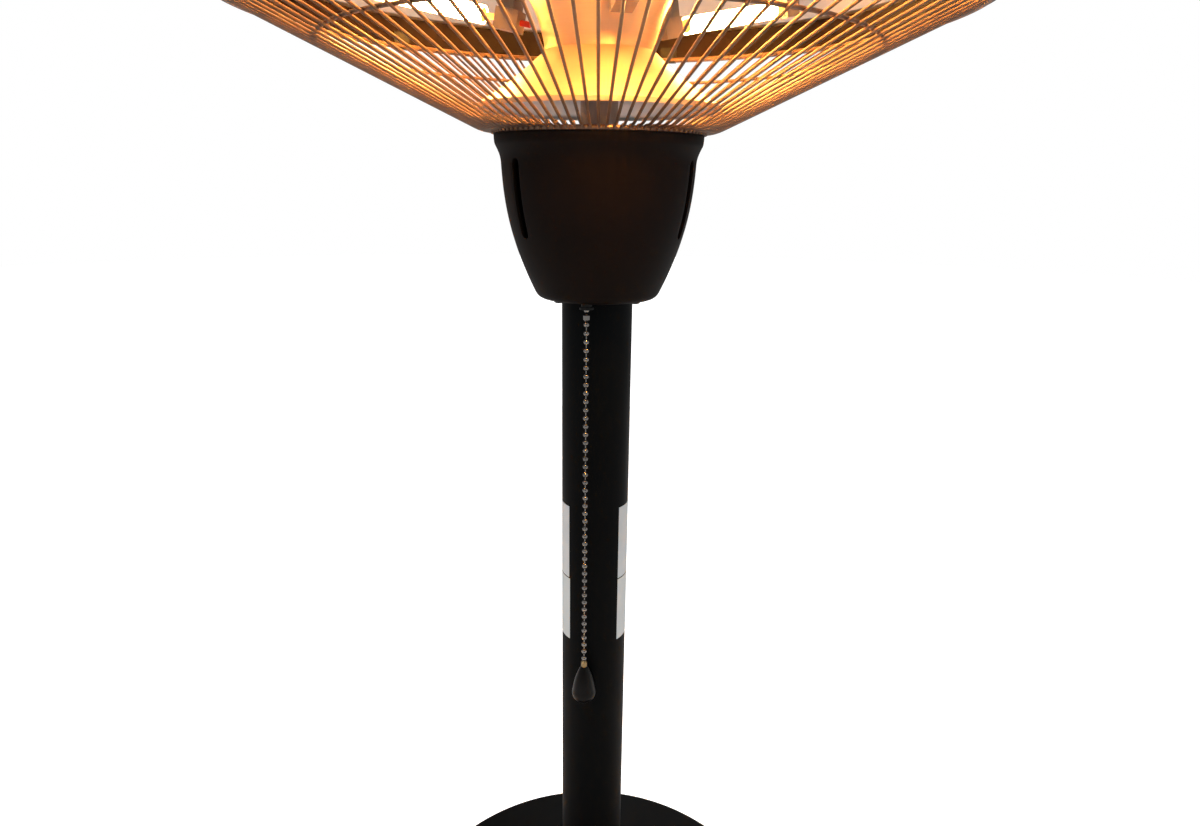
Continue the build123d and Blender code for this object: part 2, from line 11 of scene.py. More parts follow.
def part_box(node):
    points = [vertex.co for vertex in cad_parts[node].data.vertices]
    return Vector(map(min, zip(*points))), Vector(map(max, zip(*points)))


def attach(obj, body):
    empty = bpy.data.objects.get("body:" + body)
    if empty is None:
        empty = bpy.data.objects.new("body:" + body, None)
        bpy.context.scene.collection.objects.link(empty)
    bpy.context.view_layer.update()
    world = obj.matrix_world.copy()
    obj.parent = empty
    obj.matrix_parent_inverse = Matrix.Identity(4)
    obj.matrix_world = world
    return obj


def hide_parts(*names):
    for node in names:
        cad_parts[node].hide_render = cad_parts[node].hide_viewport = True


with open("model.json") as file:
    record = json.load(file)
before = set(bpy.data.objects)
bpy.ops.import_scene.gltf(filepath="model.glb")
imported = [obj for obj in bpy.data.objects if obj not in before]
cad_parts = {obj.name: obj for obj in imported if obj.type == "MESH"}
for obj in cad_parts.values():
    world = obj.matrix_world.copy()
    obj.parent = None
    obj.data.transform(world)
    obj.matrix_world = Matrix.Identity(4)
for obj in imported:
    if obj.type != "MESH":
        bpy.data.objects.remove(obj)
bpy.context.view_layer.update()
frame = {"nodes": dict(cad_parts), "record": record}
mm = 0.001

# Guard, its wires fitted to the photograph's outline
wire_count = 96
wire_r = 0.8 * mm
wire_in_r = 59.38 * mm
guard_low = 602.3 * mm
guard_bend_rise = 2.2 * mm
neck_ring_r = 57.6 * mm
neck_ring_d = 2.6 * mm
guard_foot_r = 63.5 * mm
guard_foot_z = 603.2 * mm
guard_rim_r = 197.5 * mm
guard_slope = 0.479
mid_ring_r = 147.0 * mm
mid_ring_d = 2.0 * mm
rim_ring_d = 3.6 * mm
ring_sink = 0.95
guard_phase = radians(-1.9)

# Chain; bead_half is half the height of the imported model's faceted bead
bead_r = 1.65 * mm
bead_half = 1.43 * mm
bead_pitch = 5.0 * mm
chain_link_r = 0.32 * mm

# Bell housing, its profile as (radius, height) in millimetres
bell_profile = [(21.2, 511.2), (28.6, 511.3), (35.0, 512.2), (38.3, 519.0), (41.9, 527.0), (46.9, 540.0),
                (51.2, 555.0), (53.8, 570.0), (54.9, 583.0), (55.2, 590.0), (57.4, 595.2), (58.8, 597.6),
                (58.8, 602.0)]
bell_wall = 2.0 * mm
bell_turns = 96
bell_edge = 0.6 * mm
vent_w = 6.5 * mm
vent_low = 547.0 * mm
vent_high = 589.0 * mm
vent_reach = 50.0 * mm
vent_turns = (-53.0, 67.0, 187.0)

# Turned sheets of the head and the base
turn_steps = 128
sheet_t = 1.0 * mm
hood_wall = 1.2 * mm
stud_hole_r = 4.3 * mm
hood_crown_r = 16.0 * mm
hood_brow_in = 12.0 * mm
hood_skirt_h = 20.0 * mm
hood_brow_rise = 11.0 * mm
base_wall = 1.6 * mm
base_shoulder_r = 145.2 * mm
base_shoulder_z = 24.1 * mm
base_bend_z = 19.0 * mm
base_seat_r = 34.0 * mm
bolt_hole_r = 4.5 * mm
gland_z = 12.0 * mm
gland_hole_r = 3.7 * mm
flange_r = 10.9 * mm
arch_rim_z = 686.69 * mm
arch_lip_r = 56.75 * mm
lip_z = 693.0 * mm
lip_r = 58.0 * mm
arch_flat = 8.5 * mm
waist_r = 30.5 * mm
waist_z = 649.0 * mm
flare_r = 38.4 * mm
flare_z = 671.0 * mm
column_drop = 1.25 * mm
cone_top_z = 645.0 * mm
cone_r = 68.0 * mm
cone_low_z = 617.0 * mm
cone_hem_z = 614.6 * mm
knob_neck_r = 2.2 * mm
floor_screw_ring_r = 25.5 * mm
floor_screw = [(0.0, 509.7), (1.9, 509.8), (2.8, 510.5), (2.8, 511.4), (1.5, 511.4), (1.5, 516.4),
               (0.0, 516.4)]

# Bare labels on the pole
pole_r = 21.0 * mm
label_t = 0.12 * mm
label_peel = 2500.0
label_steps = 360

# Camera, at the photograph's place
camera_place = (2.5 * mm, -470.8 * mm, 578.0 * mm)
camera_pitch = radians(16.35)
camera_roll = radians(0.72)
camera_lens = 23.76
camera_sensor = 36.0

# Floor and world: the camera sees white, and the object gets less light than that
floor_r = 6.0
floor_drop = 0.5 * mm
world_share = 0.6
glossy_share = 0.3

# Smallest angle that shows as an edge
edge_turn = radians(35)
node_edge_turn = radians(32)


def deselect():
    """Nothing is selected after this."""
    if bpy.context.mode != "OBJECT":
        bpy.ops.object.mode_set(mode="OBJECT")
    bpy.ops.object.select_all(action="DESELECT")


def select(*pieces):
    """Only these pieces are selected, and the first is active."""
    deselect()
    for piece in pieces:
        piece.select_set(True)
    bpy.context.view_layer.objects.active = pieces[0]


def edit(piece, pick=None):
    """Edit mode on a piece, with the faces that pick chooses selected, or all of them."""
    select(piece)
    bpy.ops.object.mode_set(mode="EDIT")
    bpy.ops.mesh.select_all(action="SELECT" if pick is None else "DESELECT")
    if pick is not None:
        bpy.ops.object.mode_set(mode="OBJECT")
        for face in piece.data.polygons:
            face.select = pick(face)
        bpy.ops.object.mode_set(mode="EDIT")


def settle(piece, name, smooth=True, recalculate=True):
    """The place goes into the mesh; then outward normals, smooth shading by angle and a name."""
    select(piece)
    bpy.ops.object.transform_apply(location=True, rotation=True, scale=True)
    if recalculate:
        edit(piece)
        bpy.ops.mesh.normals_make_consistent(inside=False)
    select(piece)
    if smooth:
        bpy.ops.object.shade_smooth_by_angle(angle=edge_turn)
    piece.name = name
    piece.data.name = name
    return piece


def join(pieces):
    """One object from several."""
    select(*pieces)
    bpy.ops.object.join()
    return bpy.context.view_layer.objects.active


def paint(piece, material):
    """One material all over a piece."""
    piece.data.materials.clear()
    piece.data.materials.append(material)


# Node helpers
def node(tree, kind, **values):
    """Adds a node; a value named after an input sets it, and any other sets the node itself."""
    made = tree.nodes.new(kind)
    for key, value in values.items():
        if hasattr(made, key):
            setattr(made, key, value)
        else:
            made.inputs[key.replace("_", " ")].default_value = value
    return made


def link(tree, source, output, target, entry):
    """A wire between two nodes' sockets."""
    tree.links.new(source.outputs[output], target.inputs[entry])


def make_grain():
    """Shader group: the fine orange-peel of paint or moulding, as a height and a mottled mask."""
    group = bpy.data.node_groups.new("paint_grain", "ShaderNodeTree")
    for name, value in (("Scale", 900.0), ("Mottle Scale", 18.0)):
        entry = group.interface.new_socket(name=name, in_out="INPUT", socket_type="NodeSocketFloat")
        entry.default_value = value
    group.interface.new_socket(name="Height", in_out="OUTPUT", socket_type="NodeSocketFloat")
    group.interface.new_socket(name="Mottle", in_out="OUTPUT", socket_type="NodeSocketFloat")
    start = group.nodes.new("NodeGroupInput")
    end = group.nodes.new("NodeGroupOutput")
    place = group.nodes.new("ShaderNodeTexCoord")
    fine = node(group, "ShaderNodeTexNoise", Detail=3.0, Roughness=0.6)
    broad = node(group, "ShaderNodeTexNoise", Detail=4.0, Roughness=0.55)
    link(group, place, "Object", fine, "Vector")
    link(group, place, "Object", broad, "Vector")
    link(group, start, "Scale", fine, "Scale")
    link(group, start, "Mottle Scale", broad, "Scale")
    link(group, fine, "Fac", end, "Height")
    link(group, broad, "Fac", end, "Mottle")
    return group


def make_spun():
    """Shader group: the circular marks that metal spinning leaves about the pole's axis."""
    group = bpy.data.node_groups.new("spun_marks", "ShaderNodeTree")
    entry = group.interface.new_socket(name="Marks Per Metre", in_out="INPUT",
                                       socket_type="NodeSocketFloat")
    entry.default_value = 700.0
    group.interface.new_socket(name="Height", in_out="OUTPUT", socket_type="NodeSocketFloat")
    group.interface.new_socket(name="Mask", in_out="OUTPUT", socket_type="NodeSocketFloat")
    start = group.nodes.new("NodeGroupInput")
    end = group.nodes.new("NodeGroupOutput")
    place = group.nodes.new("ShaderNodeTexCoord")
    flat = node(group, "ShaderNodeVectorMath", operation="MULTIPLY")
    flat.inputs[1].default_value = (1.0, 1.0, 0.0)
    reach = node(group, "ShaderNodeVectorMath", operation="LENGTH")
    parts = group.nodes.new("ShaderNodeSeparateXYZ")
    slide = node(group, "ShaderNodeMath", operation="ADD")
    count = node(group, "ShaderNodeMath", operation="MULTIPLY")
    marks = node(group, "ShaderNodeTexNoise", noise_dimensions="1D", Detail=4.0, Roughness=0.7)
    marks.inputs["Scale"].default_value = 1.0
    broad = node(group, "ShaderNodeTexNoise", Scale=22.0, Detail=2.0)
    link(group, place, "Object", flat, 0)
    link(group, flat, 0, reach, 0)
    link(group, place, "Object", parts, "Vector")
    link(group, reach, "Value", slide, 0)
    link(group, parts, "Z", slide, 1)
    link(group, slide, "Value", count, 0)
    link(group, start, "Marks Per Metre", count, 1)
    link(group, count, "Value", marks, "W")
    link(group, marks, "Fac", end, "Height")
    link(group, place, "Object", broad, "Vector")
    link(group, broad, "Fac", end, "Mask")
    return group


grain_group = make_grain()
spun_group = make_spun()


def surface(name, metallic=0.0, specular=0.5, ior=1.5):
    """A new material with its tree and its Principled shader."""
    material = bpy.data.materials.new(name)
    material.use_nodes = True
    tree = material.node_tree
    shader = tree.nodes["Principled BSDF"]
    shader.inputs["Metallic"].default_value = metallic
    shader.inputs["Specular IOR Level"].default_value = specular
    shader.inputs["IOR"].default_value = ior
    return material, tree, shader


def ramp(tree, low, high, start=0.35, stop=0.65):
    """A colour ramp between two colours."""
    made = tree.nodes.new("ShaderNodeValToRGB")
    made.color_ramp.elements[0].position = start
    made.color_ramp.elements[1].position = stop
    made.color_ramp.elements[0].color = (*low, 1.0)
    made.color_ramp.elements[1].color = (*high, 1.0)
    return made


def spread(tree, low, high, start=0.3, stop=0.7):
    """A remap of a mask to a range, for roughness."""
    made = tree.nodes.new("ShaderNodeMapRange")
    made.inputs["From Min"].default_value = start
    made.inputs["From Max"].default_value = stop
    made.inputs["To Min"].default_value = low
    made.inputs["To Max"].default_value = high
    return made


def bump(tree, shader, height_node, output, strength, distance):
    """Surface relief from a height."""
    made = node(tree, "ShaderNodeBump", Strength=strength, Distance=distance)
    link(tree, height_node, output, made, "Height")
    link(tree, made, "Normal", shader, "Normal")
    return made


def painted(name, low, high, rough, specular, peel=900.0, depth=0.04 * mm, strength=0.25, metallic=0.0):
    """A paint, lacquer, rubber or moulding: two near tones, uneven gloss and a fine peel."""
    material, tree, shader = surface(name, metallic, specular)
    grain = tree.nodes.new("ShaderNodeGroup")
    grain.node_tree = grain_group
    grain.inputs["Scale"].default_value = peel
    tone = ramp(tree, low, high)
    gloss = spread(tree, rough[0], rough[1])
    link(tree, grain, "Mottle", tone, "Fac")
    link(tree, tone, "Color", shader, "Base Color")
    link(tree, grain, "Mottle", gloss, "Value")
    link(tree, gloss, "Result", shader, "Roughness")
    bump(tree, shader, grain, "Height", strength, depth)
    return material


def spun_metal(name, low, high, rough, depth=0.03 * mm, marks=700.0, metallic=1.0):
    """Bright sheet metal, spun about the pole's axis."""
    material, tree, shader = surface(name, metallic)
    spun = tree.nodes.new("ShaderNodeGroup")
    spun.node_tree = spun_group
    spun.inputs["Marks Per Metre"].default_value = marks
    tone = ramp(tree, low, high)
    gloss = spread(tree, rough[0], rough[1])
    link(tree, spun, "Mask", tone, "Fac")
    link(tree, tone, "Color", shader, "Base Color")
    link(tree, spun, "Height", gloss, "Value")
    link(tree, gloss, "Result", shader, "Roughness")
    bump(tree, shader, spun, "Height", 0.3, depth)
    return material


def glowing(name, colour, core, strength, alpha=1.0):
    """A hot piece, unevenly bright along its length."""
    material, tree, shader = surface(name, 0.0)
    grain = tree.nodes.new("ShaderNodeGroup")
    grain.node_tree = grain_group
    grain.inputs["Mottle Scale"].default_value = 60.0
    tone = ramp(tree, colour, core, 0.3, 0.6)
    link(tree, grain, "Mottle", tone, "Fac")
    link(tree, tone, "Color", shader, "Emission Color")
    shader.inputs["Base Color"].default_value = (*colour, 1.0)
    shader.inputs["Emission Strength"].default_value = strength
    shader.inputs["Roughness"].default_value = 0.2
    shader.inputs["Alpha"].default_value = alpha
    return material


finishes = {
    "black_enamel": painted("black_enamel", (0.0012, 0.0016, 0.002), (0.002, 0.0026, 0.003), (0.42, 0.55),
                            0.06),
    # The housing's moulding is black; its warm brown tint is painted light, the lamps' warm glow reflected
    # on it.
    "black_moulding": painted("black_moulding", (0.005, 0.0026, 0.0017), (0.0075, 0.0038, 0.0024),
                              (0.5, 0.62), 0.07, peel=1400.0),
    "cast_weight": painted("cast_weight", (0.05, 0.05, 0.05), (0.09, 0.085, 0.08), (0.7, 0.9), 0.3,
                           peel=300.0),
    "zinc_steel": painted("zinc_steel", (0.16, 0.15, 0.145), (0.28, 0.27, 0.26), (0.3, 0.45), 0.5,
                          metallic=1.0),
    "rubber": painted("rubber", (0.015, 0.015, 0.015), (0.03, 0.03, 0.03), (0.75, 0.9), 0.3),
    "black_rubber": painted("black_rubber", (0.012, 0.012, 0.012), (0.022, 0.022, 0.022), (0.65, 0.8), 0.3),
    "black_screw": painted("black_screw", (0.012, 0.012, 0.012), (0.03, 0.03, 0.03), (0.35, 0.5), 0.5,
                           metallic=1.0),
    "nickel": painted("nickel", (0.2, 0.19, 0.18), (0.34, 0.32, 0.3), (0.1, 0.2), 0.5, metallic=1.0),
    "brass": painted("brass", (0.32, 0.21, 0.09), (0.45, 0.31, 0.15), (0.2, 0.32), 0.5, metallic=1.0),
    "switch_plastic": painted("switch_plastic", (0.62, 0.6, 0.54), (0.72, 0.7, 0.65), (0.4, 0.5), 0.5),
    "black_gloss": painted("black_gloss", (0.002, 0.002, 0.002), (0.004, 0.004, 0.004), (0.22, 0.32),
                           0.15),
    "grey_tube": painted("grey_tube", (0.3, 0.27, 0.25), (0.45, 0.42, 0.4), (0.3, 0.42), 0.5, metallic=1.0),
    "polished_aluminium": spun_metal("polished_aluminium", (0.8, 0.72, 0.62), (0.9, 0.84, 0.74),
                                     (0.32, 0.46)),
    "ceramic": painted("ceramic", (0.2, 0.165, 0.15), (0.28, 0.24, 0.22), (0.5, 0.65), 0.4),
    "red_sleeve": painted("red_sleeve", (0.55, 0.03, 0.015), (0.75, 0.06, 0.03), (0.45, 0.6), 0.4),
    # The guard's wires are black; their orange-brown colour is painted light, the lamps' glow on them.
    "guard_wire": painted("guard_wire", (0.14, 0.08, 0.05), (0.23, 0.135, 0.085), (0.3, 0.45), 0.4,
                          metallic=0.5),
    "label_white": painted("label_white", (0.58, 0.64, 0.66), (0.64, 0.7, 0.72), (0.45, 0.6), 0.4,
                           peel=label_peel),
    "label_grey": painted("label_grey", (0.52, 0.58, 0.61), (0.68, 0.73, 0.76), (0.45, 0.6), 0.4,
                          peel=label_peel),
    "label_silver": painted("label_silver", (0.4, 0.41, 0.42), (0.5, 0.5, 0.5), (0.35, 0.5), 0.5,
                            peel=label_peel),
    "quartz": glowing("quartz", (1.0, 0.38, 0.06), (1.0, 0.46, 0.1), 300.0),
    "filament": glowing("filament", (1.0, 0.6, 0.25), (1.0, 0.8, 0.5), 40.0),
    "pinch": glowing("pinch", (1.0, 0.5, 0.06), (1.0, 0.65, 0.15), 1.6),
}


def paint_light_inside(material, low, high):
    """Painted light inside a hollow turned piece: a second tone on every face that looks towards the pole's
    axis.
    """
    tree = material.node_tree
    shader = tree.nodes["Principled BSDF"]
    place = tree.nodes.new("ShaderNodeTexCoord")
    flat = node(tree, "ShaderNodeVectorMath", operation="MULTIPLY")
    flat.inputs[1].default_value = (1.0, 1.0, 0.0)
    facing = node(tree, "ShaderNodeVectorMath", operation="DOT_PRODUCT")
    inward = node(tree, "ShaderNodeMath", operation="LESS_THAN")
    inward.inputs[1].default_value = 0.0
    tone = ramp(tree, low, high)
    outer = shader.inputs["Base Color"].links[0].from_socket
    blend = node(tree, "ShaderNodeMix", data_type="RGBA")
    link(tree, place, "Object", flat, 0)
    link(tree, flat, 0, facing, 0)
    link(tree, place, "Normal", facing, 1)
    link(tree, facing, "Value", inward, 0)
    link(tree, inward, "Value", blend, 0)
    grain = [part for part in tree.nodes if part.type == "GROUP"][0]
    tree.links.new(grain.outputs[1], tone.inputs["Fac"])
    tree.links.new(outer, blend.inputs[6])
    link(tree, tone, "Color", blend, 7)
    tree.links.new(blend.outputs[2], shader.inputs["Base Color"])
    return material


# The column's orange tint is painted light: the lamps' glow on polished aluminium.
finishes["glow_painted_aluminium"] = spun_metal("glow_painted_aluminium", (0.86, 0.52, 0.26), (0.95, 0.64, 0.36),
                                        (0.4, 0.55), metallic=0.75)
# The cone's orange tint is painted light, the lamps' glow on polished aluminium; the pale tone on its
# underside is a painted reflection of the white surroundings.
finishes["glow_painted_cone_aluminium"] = paint_light_inside(
    spun_metal("glow_painted_cone_aluminium", (0.84, 0.58, 0.35), (0.92, 0.66, 0.42), (0.4, 0.55), metallic=0.75),
    (0.86, 0.85, 0.84), (0.95, 0.94, 0.93))
# Inside the hood the warmer, lighter brown is painted light, the lamps' glow on the black enamel.
finishes["hood_enamel_glow_painted_inside"] = paint_light_inside(
    painted("hood_enamel_glow_painted_inside", (0.0012, 0.0016, 0.002), (0.002, 0.0026, 0.003), (0.42, 0.55), 0.06),
    (0.006, 0.003, 0.0022), (0.01, 0.005, 0.0036))
slots = {entry["node"]: entry["material_slot"] for entry in frame["record"]["subparts"]}
looks = {**slots, "hood": "hood_enamel_glow_painted_inside", "guard_clips": "black_screw", "chain_bushing": "black_screw"}
for name, piece in frame["nodes"].items():
    paint(piece, finishes[looks[name]])
    select(piece)
    bpy.ops.object.shade_smooth_by_angle(angle=node_edge_turn)


def curve_of(points, kind):
    """A curve and its one spline through (x, z) points in the XZ plane."""
    curve = bpy.data.curves.new("line", "CURVE")
    curve.dimensions = "3D"
    spline = curve.splines.new(kind)
    spline.points.add(len(points) - 1)
    for place, (x, z) in zip(spline.points, points):
        place.co = (x, 0.0, z, 1.0)
    if kind == "NURBS":
        spline.order_u = 3
        spline.use_endpoint_u = True
    return curve, spline


def curve_mesh(curve):
    """The curve as a mesh object."""
    made = bpy.data.objects.new("line", curve)
    bpy.context.scene.collection.objects.link(made)
    select(made)
    bpy.ops.object.convert(target="MESH")
    return bpy.context.view_layer.objects.active


def tube_along(points, radius, sides):
    """A round rod along (x, z) points with softened corners, as a mesh."""
    curve, spline = curve_of(points, "NURBS")
    spline.resolution_u = 3
    curve.bevel_depth = radius
    curve.bevel_resolution = sides
    curve.use_fill_caps = True
    return curve_mesh(curve)


def stand_in(piece, node_name, body, look):
    """A finished piece, in its colours, takes a node's place on a body."""
    paint(piece, finishes[look])
    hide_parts(node_name)
    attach(piece, body)


def guard_z(radius):
    """Height of the wires' centre line."""
    return guard_foot_z + guard_slope * (radius - guard_foot_r)


def around(piece, count):
    """Copies of a piece's mesh, evenly round the pole's axis."""
    edit(piece)
    bpy.ops.mesh.spin(steps=count - 1, dupli=True, angle=2 * pi * (count - 1) / count, center=(0, 0, 0),
                      axis=(0, 0, 1))
    deselect()


def hoop(radius, z, thickness, steps=192):
    """A round wire ring."""
    deselect()
    bpy.ops.mesh.primitive_torus_add(major_radius=radius, minor_radius=thickness / 2, major_segments=steps,
                                     minor_segments=8, location=(0, 0, z))
    return bpy.context.view_layer.objects.active


def make_guard():
    """The guard's wires, each bent over the neck ring, welded to its three rings."""
    bend_z = guard_low + guard_bend_rise
    along = [guard_foot_r + (guard_rim_r - guard_foot_r) * share for share in (0.08, 0.4, 0.75, 1.0)]
    points = [(wire_in_r, guard_low), (wire_in_r, bend_z - 0.7 * mm), (wire_in_r + 2.0 * mm, bend_z),
              (guard_foot_r + 2.0 * mm, guard_foot_z + 1.0 * mm)]
    points += [(radius, guard_z(radius)) for radius in along]
    wire = tube_along(points, wire_r, 2)
    select(wire)
    first = guard_phase + pi / wire_count
    bpy.ops.transform.rotate(value=-first, orient_axis="Z", center_override=(0, 0, 0))
    bpy.ops.object.transform_apply(location=True, rotation=True, scale=True)
    around(wire, wire_count)
    lift = (2 * wire_r + mid_ring_d) / 2 * ring_sink
    rings = [hoop(neck_ring_r, guard_low - 0.3 * mm + neck_ring_d / 2, neck_ring_d),
             hoop(mid_ring_r, guard_z(mid_ring_r) + lift, mid_ring_d),
             hoop(guard_rim_r, guard_z(guard_rim_r), rim_ring_d)]
    guard = settle(join([wire] + rings), "guard_wires")
    stand_in(guard, "guard", "root", "guard_wire")


make_guard()


def turn_round(line, steps, weld):
    """A line becomes the skin that it sweeps once round the pole's axis, its seam closed."""
    edit(line)
    bpy.ops.mesh.spin(steps=steps, angle=2 * pi, center=(0, 0, 0), axis=(0, 0, 1))
    bpy.ops.mesh.select_all(action="SELECT")
    bpy.ops.mesh.remove_doubles(threshold=weld)


def turned(points, steps):
    """An open skin, turned from a smooth line through (radius, height) points in millimetres."""
    curve, spline = curve_of([(radius * mm, height * mm) for radius, height in points], "NURBS")
    spline.resolution_u = 5
    skin = curve_mesh(curve)
    turn_round(skin, steps, 0.01 * mm)
    bpy.ops.mesh.normals_make_consistent(inside=False)
    deselect()
    return skin


def circle_run(start, through, end, steps=20):
    """Points at even angles along the circle through three (radius, height) points, both ends included."""
    (ax, ay), (bx, by), (cx, cy) = start, through, end
    area = 2 * (ax * (by - cy) + bx * (cy - ay) + cx * (ay - by))
    a2, b2, c2 = ax * ax + ay * ay, bx * bx + by * by, cx * cx + cy * cy
    mx = (a2 * (by - cy) + b2 * (cy - ay) + c2 * (ay - by)) / area
    my = (a2 * (cx - bx) + b2 * (ax - cx) + c2 * (bx - ax)) / area
    radius = hypot(ax - mx, ay - my)
    first = atan2(ay - my, ax - mx)
    sweep = (atan2(cy - my, cx - mx) - first + pi) % (2 * pi) - pi
    turns = [first + sweep * step / steps for step in range(steps + 1)]
    return [(mx + radius * cos(turn), my + radius * sin(turn)) for turn in turns]


def turned_sheet(node_name, points, name, look, steps=turn_steps):
    """A closed outline of (radius, height) points in metres, turned once round in a node's place."""
    curve, spline = curve_of(points, "POLY")
    spline.use_cyclic_u = True
    sheet = curve_mesh(curve)
    turn_round(sheet, steps, 0.005 * mm)
    settle(sheet, name)
    stand_in(sheet, node_name, "root", look)
    return sheet


def knob_line():
    """The pull knob's teardrop outline."""
    low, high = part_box("pull_knob")
    widest, tall = (high[0] - low[0]) / 2, high[2] - low[2]
    waist = (widest, low[2] + tall * 0.33)
    foot = circle_run((widest * 0.45, low[2]), (widest * 0.9, low[2] + tall * 0.1), waist, 10)
    flank = circle_run(waist, (widest * 0.72, low[2] + tall * 0.7), (knob_neck_r, high[2]), 12)
    return [(0.0, low[2]), *foot, *flank[1:], (0.0, high[2])]


def make_knob():
    """The knob, smooth, in its node's place below the chain."""
    low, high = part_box("pull_knob")
    knob = turned_sheet("pull_knob", knob_line(), "knob_skin", "black_gloss", 40)
    edit(knob)
    bpy.ops.transform.translate(value=((low[0] + high[0]) / 2, (low[1] + high[1]) / 2, 0))
    deselect()
    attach(knob, "chain")


def hood_line(inset):
    """The hood's outline from its crown out to its hem, drawn in by an even wall."""
    low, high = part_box("hood")
    side = high[0] - inset
    crown = (hood_crown_r, high[2] - inset)
    shoulder_z = low[2] + hood_skirt_h
    brow_z = shoulder_z + hood_brow_rise
    brow = (high[0] - hood_brow_in - inset * 0.6, brow_z - inset)
    middle = (high[0] * 0.545, brow_z + (high[2] - brow_z) * 0.65 - inset)
    bend = (high[0] - hood_brow_in * 0.28 - inset * 0.8, shoulder_z + hood_brow_rise * 0.6 - inset * 0.6)
    skirt = circle_run(brow, bend, (side, shoulder_z), 8)
    return [(stud_hole_r, crown[1]), *circle_run(crown, middle, brow), *skirt[1:], (side, low[2])]


def make_head_sheets():
    """The hood and the three polished reflectors, with smooth turned outlines."""
    turned_sheet("hood", [*hood_line(0.0), *reversed(hood_line(hood_wall))], "hood_skin", "hood_enamel_glow_painted_inside")
    low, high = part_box("hood_reflector")
    arch_top = high[2] - sheet_t

    def arch(lift):
        middle = (high[0] * 0.5891, arch_top + lift)
        return circle_run((arch_lip_r, lip_z + lift), middle, (high[0] - arch_flat, arch_rim_z + lift))

    flat = [(high[0], arch_rim_z), (high[0], arch_rim_z + sheet_t)]
    turned_sheet("hood_reflector", [*arch(0.0), *flat, *reversed(arch(sheet_t))], "arch_sheet",
                 "polished_aluminium")
    outer = circle_run((waist_r, waist_z), (flare_r, flare_z), (lip_r, lip_z))
    inner = circle_run((lip_r - column_drop, lip_z), (flare_r - column_drop, flare_z + 0.4 * mm),
                       (waist_r - sheet_t, waist_z))
    flange = [(flange_r, cone_top_z), (waist_r, cone_top_z)]
    inside = [(waist_r - sheet_t, cone_top_z + sheet_t), (flange_r, cone_top_z + sheet_t)]
    turned_sheet("column_reflector", [*flange, *outer, *inner, *inside], "column_sheet", "glow_painted_aluminium")
    over = circle_run((waist_r, cone_top_z), (48.25 * mm, 630.0 * mm), (cone_r, cone_low_z))
    under = circle_run((cone_r - sheet_t, cone_low_z - 0.6 * mm), (47.85 * mm, 628.75 * mm),
                       (30.1 * mm, cone_top_z - sheet_t))
    hem = [(cone_r, cone_hem_z), (cone_r - sheet_t, cone_hem_z)]
    turned_sheet("lower_reflector", [(flange_r, cone_top_z), *over, *hem, *under,
                                     (flange_r, cone_top_z - sheet_t)],
                 "cone_sheet", "glow_painted_cone_aluminium")


def make_floor_screws():
    """The three screws under the housing's floor, with low domed heads."""
    line = [(radius * mm, height * mm) for radius, height in floor_screw]
    screw = turned_sheet("socket_screws", line, "floor_screws", "black_screw", 20)
    edit(screw)
    bpy.ops.transform.translate(value=(0, floor_screw_ring_r, 0))
    bpy.ops.mesh.select_all(action="SELECT")
    bpy.ops.mesh.spin(steps=2, dupli=True, angle=4 * pi / 3, center=(0, 0, 0), axis=(0, 0, 1))
    deselect()


def make_base_skin():
    """The pressed base cover with its round edge, and the hole of the cord's grommet."""
    low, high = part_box("base_cover")

    def skin(inset):
        side = high[0] - inset
        bend = (side - 1.3 * mm + inset * 0.3, base_shoulder_z - 1.9 * mm - inset * 0.7)
        edge = circle_run((base_shoulder_r, base_shoulder_z - inset), bend, (side, base_bend_z), 8)
        return [(bolt_hole_r, high[2] - inset), (base_seat_r, high[2] - inset), *edge, (side, low[2])]

    cover = turned_sheet("base_cover", [*skin(0.0), *reversed(skin(base_wall))], "base_skin",
                         "black_enamel")
    deselect()
    bpy.ops.mesh.primitive_cylinder_add(vertices=32, radius=gland_hole_r, depth=12 * base_wall,
                                        location=(0, high[1], gland_z), rotation=(pi / 2, 0, 0))
    cut(cover, bpy.context.view_layer.objects.active)


def slot_cutter(turn):
    """A tall round-ended block that cuts one vent, turned about the pole's axis from the front."""
    deselect()
    middle = (0, -vent_reach, vent_low + vent_w / 2)
    bpy.ops.mesh.primitive_cylinder_add(vertices=32, radius=vent_w / 2, depth=vent_reach, location=middle,
                                        rotation=(pi / 2, 0, 0))
    cutter = bpy.context.view_layer.objects.active
    select(cutter)
    bpy.ops.object.transform_apply(location=True, rotation=True, scale=True)
    bpy.ops.object.mode_set(mode="EDIT")
    bpy.ops.mesh.select_all(action="DESELECT")
    bpy.ops.object.mode_set(mode="OBJECT")
    for corner in cutter.data.vertices:
        corner.select = corner.co.z > vent_low + vent_w / 2 - 0.001 * mm
    bpy.ops.object.mode_set(mode="EDIT")
    bpy.ops.transform.translate(value=(0, 0, vent_high - vent_low - vent_w))
    bpy.ops.mesh.select_all(action="SELECT")
    bpy.ops.transform.rotate(value=-radians(turn), orient_axis="Z", center_override=(0, 0, 0))
    deselect()
    return cutter


def cut(piece, cutter):
    """A boolean difference, after which the cutter is gone."""
    select(piece)
    take = piece.modifiers.new("cut", "BOOLEAN")
    take.object = cutter
    take.operation = "DIFFERENCE"
    take.solver = "EXACT"
    bpy.ops.object.modifier_apply(modifier="cut")
    select(cutter)
    bpy.ops.object.delete()


